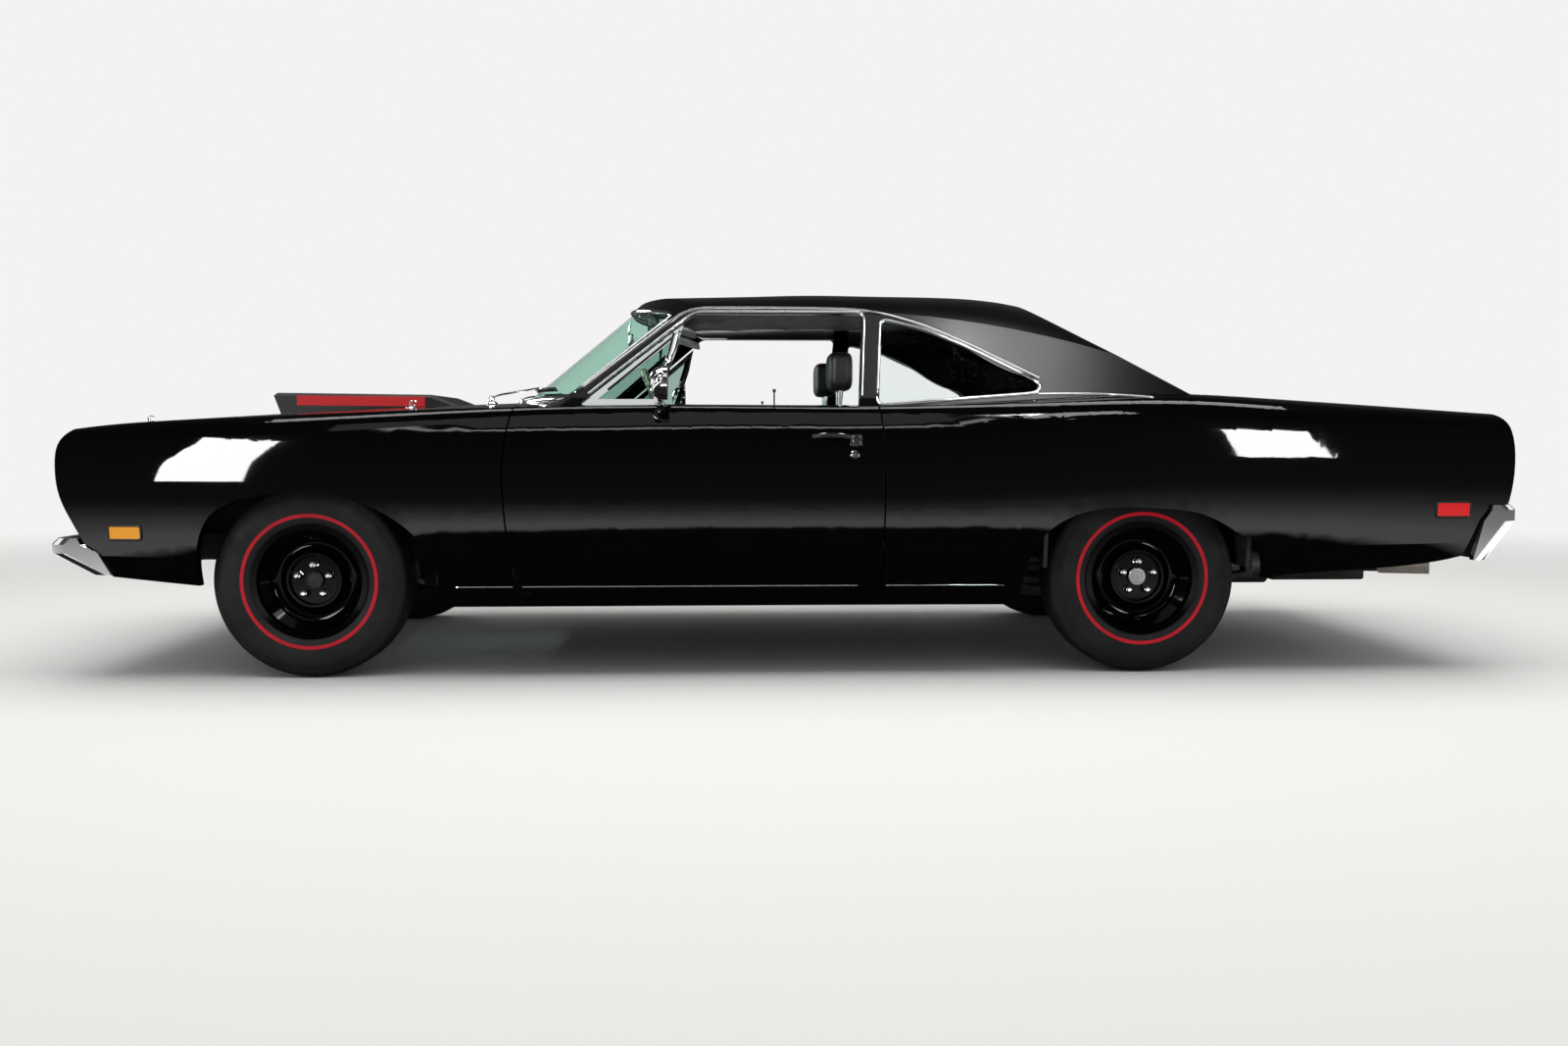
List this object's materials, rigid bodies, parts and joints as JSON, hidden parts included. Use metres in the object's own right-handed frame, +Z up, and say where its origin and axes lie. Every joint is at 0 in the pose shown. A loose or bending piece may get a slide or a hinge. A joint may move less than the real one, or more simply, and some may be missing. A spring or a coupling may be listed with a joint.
{
  "type": "two-door muscle car",
  "caption": "Black two-door muscle car with a lift-off hood and scoop, doors, deck lid, steering and turning wheels with red-line tyres.",
  "frame": {"origin": "On the ground under the middle of the car", "axes": "+X points to the tail, +Y to the car's right side, +Z up"},
  "size_m": [5.1796, 2.008, 1.3931],
  "materials": {
    "body_paint": "gloss",
    "scoop": "satin",
    "bright_trim": "polished",
    "clear_glass": "clear",
    "tinted_glass": "green tint",
    "chassis_paint": "satin",
    "iron": "plain",
    "grille_black": "satin",
    "lamp_glass": "clear",
    "red_lens": "moulded",
    "amber_lens": "moulded",
    "exhaust_steel": "plain",
    "dash_plastic": "grained",
    "seat_vinyl": "grained vinyl",
    "tyre": "rubber",
    "wheel_paint": "gloss"
  },
  "bodies": {
    "root": {"cowl": "body_paint", "rear_deck": "body_paint", "fender_left": "body_paint", "fender_right": "body_paint", "quarter_left": "body_paint", "quarter_right": "body_paint", "roof": "body_paint", "windshield": "tinted_glass", "rear_glass": "tinted_glass", "underbody": "chassis_paint", "front_structure": "chassis_paint", "engine": "iron", "grille": "grille_black", "head_lamps": "lamp_glass", "tail_panel": "body_paint", "red_lamps": "red_lens", "amber_lamps": "amber_lens", "front_valance": "body_paint", "front_bumper": "bright_trim", "rear_bumper": "bright_trim", "rear_axle": "iron", "leaf_springs": "iron", "exhaust": "exhaust_steel", "fuel_tank": "exhaust_steel", "dashboard": "dash_plastic", "steering_column": "dash_plastic", "front_seat": "seat_vinyl", "rear_seat": "seat_vinyl"},
    "hood": {"hood": "body_paint", "hood_scoop": "scoop"},
    "deck_lid": {"deck_lid": "body_paint"},
    "door_left": {"door_left": "body_paint", "window_trim_left": "bright_trim", "vent_glass_left": "clear_glass"},
    "door_right": {"door_right": "body_paint", "window_trim_right": "bright_trim", "vent_glass_right": "clear_glass"},
    "knuckle_left": {"knuckle_left": "iron"},
    "knuckle_right": {"knuckle_right": "iron"},
    "wheel_front_left": {"tyre_front_left": "tyre", "wheel_front_left": "wheel_paint"},
    "wheel_front_right": {"tyre_front_right": "tyre", "wheel_front_right": "wheel_paint"},
    "wheel_rear_left": {"tyre_rear_left": "tyre", "wheel_rear_left": "wheel_paint"},
    "wheel_rear_right": {"tyre_rear_right": "tyre", "wheel_rear_right": "wheel_paint"},
    "steering_wheel": {"steering_wheel": "dash_plastic"}
  },
  "joints": [
    {"name": "hood_lift", "type": "slide", "parent": "root", "child": "hood", "axis": [0, 0, 1], "range_m": [0, 0.3]},
    {"name": "deck_lid_hinge", "type": "hinge", "parent": "root", "child": "deck_lid", "pos_m": [1.6253, 0, 1.0098], "axis": [0, -1, 0], "range_deg": [0, 55]},
    {"name": "door_left_hinge", "type": "hinge", "parent": "root", "child": "door_left", "pos_m": [-1.0129, -0.968, 0.6], "axis": [0, 0, -1], "range_deg": [0, 65]},
    {"name": "door_right_hinge", "type": "hinge", "parent": "root", "child": "door_right", "pos_m": [-1.0129, 0.968, 0.6], "axis": [0, 0, 1], "range_deg": [0, 65]},
    {"name": "steer_left", "type": "hinge", "parent": "root", "child": "knuckle_left", "pos_m": [-1.705, -0.678, 0.341], "axis": [0, 0, 1], "range_deg": [-33, 33]},
    {"name": "steer_right", "type": "hinge", "parent": "root", "child": "knuckle_right", "pos_m": [-1.705, 0.678, 0.341], "axis": [0, 0, 1], "range_deg": [-33, 33]},
    {"name": "steering_wheel_turn", "type": "hinge", "parent": "root", "child": "steering_wheel", "pos_m": [-0.47799, -0.4, 0.925], "axis": [0.8957, 0, 0.4446], "range_deg": [-530, 530]},
    {"name": "spin_front_left", "type": "hinge", "parent": "knuckle_left", "child": "wheel_front_left", "pos_m": [-1.705, -0.758, 0.341], "axis": [0, 1, 0], "continuous": true},
    {"name": "spin_front_right", "type": "hinge", "parent": "knuckle_right", "child": "wheel_front_right", "pos_m": [-1.705, 0.758, 0.341], "axis": [0, 1, 0], "continuous": true},
    {"name": "spin_rear_left", "type": "hinge", "parent": "root", "child": "wheel_rear_left", "pos_m": [1.241, -0.752, 0.341], "axis": [0, 1, 0], "continuous": true},
    {"name": "spin_rear_right", "type": "hinge", "parent": "root", "child": "wheel_rear_right", "pos_m": [1.241, 0.752, 0.341], "axis": [0, 1, 0], "continuous": true}
  ],
  "couplings": [
    {"joint": "steer_right", "follows": "steer_left", "ratio": 1},
    {"joint": "steering_wheel_turn", "follows": "steer_left", "ratio": 16}
  ]
}
